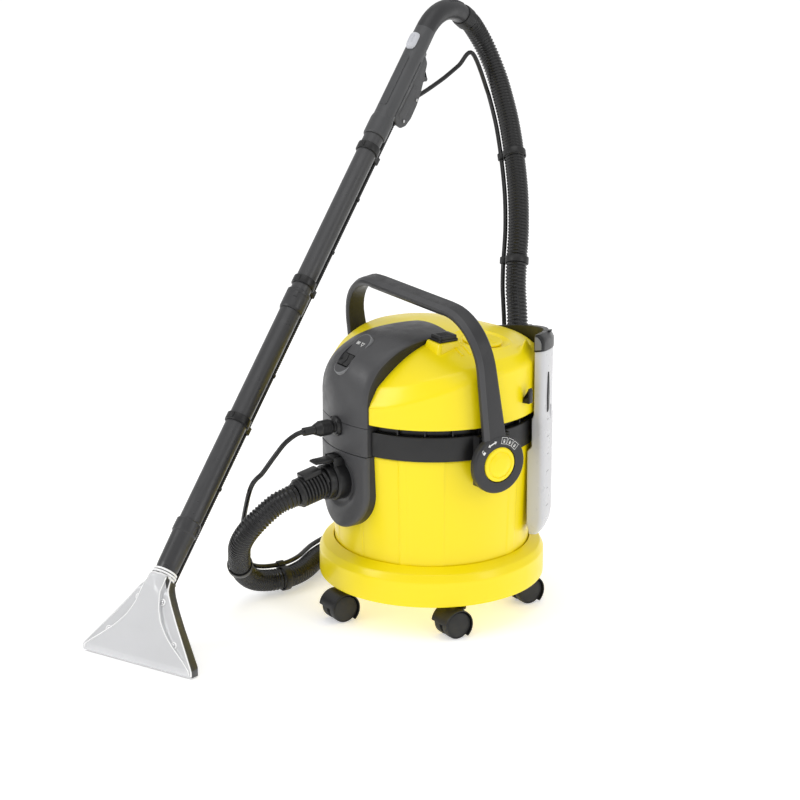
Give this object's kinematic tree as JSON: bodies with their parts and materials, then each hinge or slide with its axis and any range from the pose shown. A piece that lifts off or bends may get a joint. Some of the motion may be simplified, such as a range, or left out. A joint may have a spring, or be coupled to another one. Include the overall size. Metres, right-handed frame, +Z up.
{
  "type": "spot extractor",
  "caption": "Wheeled spray extraction cleaner with a round container, clip-on water tank, tilting carry handle, ribbed hose and a two-part wand with a clear nozzle.",
  "frame": {"origin": "middle of the whole object's footprint, machine and wand together, at floor level", "axes": "+Z up; the machine's hose inlet and switches face -Y, and its water tank is on the +Y side"},
  "size_m": [0.6524, 1.0299, 0.9527],
  "materials": {
    "yellow_shell": "satin moulded",
    "dark_housing": "fine texture",
    "black_trim": "satin moulded",
    "tank_clear": "translucent plastic",
    "nozzle_clear": "clear plastic",
    "hose_black": "satin",
    "caster_black": "satin",
    "wheel_tread": "matte",
    "wand_dark": "satin moulded",
    "grip_grey": "satin moulded",
    "light_grey": "satin moulded",
    "steel": "brushed",
    "pump_grey": "matte",
    "float_orange": "satin",
    "cage_white": "satin",
    "seal_rubber": "matte"
  },
  "bodies": {
    "root": {"chassis_ring": "yellow_shell", "container": "yellow_shell", "inlet_housing": "dark_housing", "hose_cuff": "black_trim", "suction_hose": "hose_black", "spray_hose_upper": "hose_black", "hose_clips": "black_trim"},
    "cuff_latch": {"cuff_latch": "black_trim"},
    "head": {"band_ring": "black_trim", "handle_pivots": "black_trim", "head_cover": "yellow_shell", "control_panel": "dark_housing", "coupling_panel": "dark_housing", "coupling_socket": "black_trim", "spray_hose_lower": "hose_black", "top_block": "black_trim", "cord_gland": "black_trim", "motor": "steel", "motor_plate": "black_trim", "pump": "pump_grey", "float_cage": "cage_white", "head_seal": "seal_rubber", "cable_hook": "black_trim"},
    "coupling_sleeve": {"coupling_sleeve": "black_trim"},
    "vacuum_switch": {"vacuum_switch": "black_trim"},
    "spray_switch": {"spray_switch": "black_trim"},
    "fan": {"fan": "steel"},
    "float_valve": {"float_valve": "float_orange"},
    "handle": {"carry_handle": "dark_housing", "handle_caps": "yellow_shell"},
    "tank": {"water_tank": "tank_clear", "tank_valve": "black_trim"},
    "tank_cap": {"tank_cap": "dark_housing"},
    "wand": {"nozzle_cover": "nozzle_clear", "nozzle_back": "wand_dark", "nozzle_neck": "wand_dark", "nozzle_screws": "steel", "spray_jet": "black_trim", "lower_tube": "wand_dark", "upper_tube": "wand_dark", "tube_clips": "black_trim", "spray_pipe": "hose_black", "handle_shell": "grip_grey", "grip_bend": "grip_grey", "grip_cuff": "black_trim", "valve_body": "grip_grey", "valve_screws": "steel"},
    "trigger": {"trigger": "black_trim"},
    "trigger_lock": {"trigger_lock": "light_grey"},
    "air_slider": {"air_slider": "light_grey"},
    "caster_1": {"caster_hood_1": "caster_black"},
    "caster_1_wheels": {"caster_wheels_1": "wheel_tread"},
    "caster_2": {"caster_hood_2": "caster_black"},
    "caster_2_wheels": {"caster_wheels_2": "wheel_tread"},
    "caster_3": {"caster_hood_3": "caster_black"},
    "caster_3_wheels": {"caster_wheels_3": "wheel_tread"},
    "caster_4": {"caster_hood_4": "caster_black"},
    "caster_4_wheels": {"caster_wheels_4": "wheel_tread"},
    "caster_5": {"caster_hood_5": "caster_black"},
    "caster_5_wheels": {"caster_wheels_5": "wheel_tread"}
  },
  "joints": [
    {"name": "head_lift", "type": "slide", "parent": "root", "child": "head", "axis": [0, 0, 1], "range_m": [0, 0.05], "deforming": ["spray_hose_lower"]},
    {"name": "handle_tilt", "type": "hinge", "parent": "head", "child": "handle", "pos_m": [0.113, 0.115, 0.297], "axis": [1, 0, 0], "range_deg": [-25, 4]},
    {"name": "vacuum_rocker", "type": "hinge", "parent": "head", "child": "vacuum_switch", "pos_m": [0.1055, -0.04567, 0.44634], "axis": [1, 0, 0], "range_deg": [-8, 8]},
    {"name": "spray_rocker", "type": "hinge", "parent": "head", "child": "spray_switch", "pos_m": [0.1205, -0.04567, 0.44634], "axis": [1, 0, 0], "range_deg": [-8, 8]},
    {"name": "fan_spin", "type": "hinge", "parent": "head", "child": "fan", "pos_m": [0.113, 0.15, 0.314], "axis": [0, 0, 1], "continuous": true},
    {"name": "float_rise", "type": "slide", "parent": "head", "child": "float_valve", "axis": [0, 0, 1], "range_m": [0, 0.018]},
    {"name": "coupling_slide", "type": "slide", "parent": "head", "child": "coupling_sleeve", "axis": [0, 1, 0], "range_m": [0, 0.004], "stiffness_N_per_m": 800},
    {"name": "tank_slide", "type": "slide", "parent": "root", "child": "tank", "axis": [0, 1, 0], "range_m": [0, 0.08]},
    {"name": "cap_lift", "type": "slide", "parent": "tank", "child": "tank_cap", "axis": [0, 0, 1], "range_m": [0, 0.03]},
    {"name": "latch_press", "type": "hinge", "parent": "root", "child": "cuff_latch", "pos_m": [0.113, -0.078, 0.2855], "axis": [1, 0, 0], "range_deg": [0, 5], "stiffness_Nm_per_rad": 0.6, "springref_deg": -2.86},
    {"name": "wand_lean", "type": "hinge", "parent": "root", "child": "wand", "pos_m": [0.10125, -0.43631, 0.003], "axis": [0.9135, 0.4067, 0], "range_deg": [0, 12], "deforming": ["suction_hose", "spray_hose_upper", "hose_clips"]},
    {"name": "trigger_pull", "type": "hinge", "parent": "wand", "child": "trigger", "pos_m": [-0.23134, 0.3107, 0.81897], "axis": [0.9135, 0.4067, 0], "range_deg": [0, 7], "stiffness_Nm_per_rad": 0.8, "springref_deg": -4.58},
    {"name": "lock_slide", "type": "slide", "parent": "wand", "child": "trigger_lock", "axis": [-0.2876, 0.646, 0.7071], "range_m": [0, 0.008]},
    {"name": "air_slide", "type": "slide", "parent": "wand", "child": "air_slider", "axis": [-0.2876, 0.646, 0.7071], "range_m": [-0.004, 0.012]},
    {"name": "caster_swivel_1", "type": "hinge", "parent": "root", "child": "caster_1", "pos_m": [0.113, -0.05, 0.052], "axis": [0, 0, 1], "continuous": true},
    {"name": "caster_roll_1", "type": "hinge", "parent": "caster_1", "child": "caster_1_wheels", "pos_m": [0.113, -0.064, 0.023], "axis": [1, 0, 0], "continuous": true},
    {"name": "caster_swivel_2", "type": "hinge", "parent": "root", "child": "caster_2", "pos_m": [0.27468, 0.06747, 0.052], "axis": [0, 0, 1], "continuous": true},
    {"name": "caster_roll_2", "type": "hinge", "parent": "caster_2", "child": "caster_2_wheels", "pos_m": [0.27468, 0.05347, 0.023], "axis": [1, 0, 0], "continuous": true},
    {"name": "caster_swivel_3", "type": "hinge", "parent": "root", "child": "caster_3", "pos_m": [0.21292, 0.25753, 0.052], "axis": [0, 0, 1], "continuous": true},
    {"name": "caster_roll_3", "type": "hinge", "parent": "caster_3", "child": "caster_3_wheels", "pos_m": [0.21292, 0.24353, 0.023], "axis": [1, 0, 0], "continuous": true},
    {"name": "caster_swivel_4", "type": "hinge", "parent": "root", "child": "caster_4", "pos_m": [0.01308, 0.25753, 0.052], "axis": [0, 0, 1], "continuous": true},
    {"name": "caster_roll_4", "type": "hinge", "parent": "caster_4", "child": "caster_4_wheels", "pos_m": [0.01308, 0.24353, 0.023], "axis": [1, 0, 0], "continuous": true},
    {"name": "caster_swivel_5", "type": "hinge", "parent": "root", "child": "caster_5", "pos_m": [-0.04868, 0.06747, 0.052], "axis": [0, 0, 1], "continuous": true},
    {"name": "caster_roll_5", "type": "hinge", "parent": "caster_5", "child": "caster_5_wheels", "pos_m": [-0.04868, 0.05347, 0.023], "axis": [1, 0, 0], "continuous": true}
  ]
}
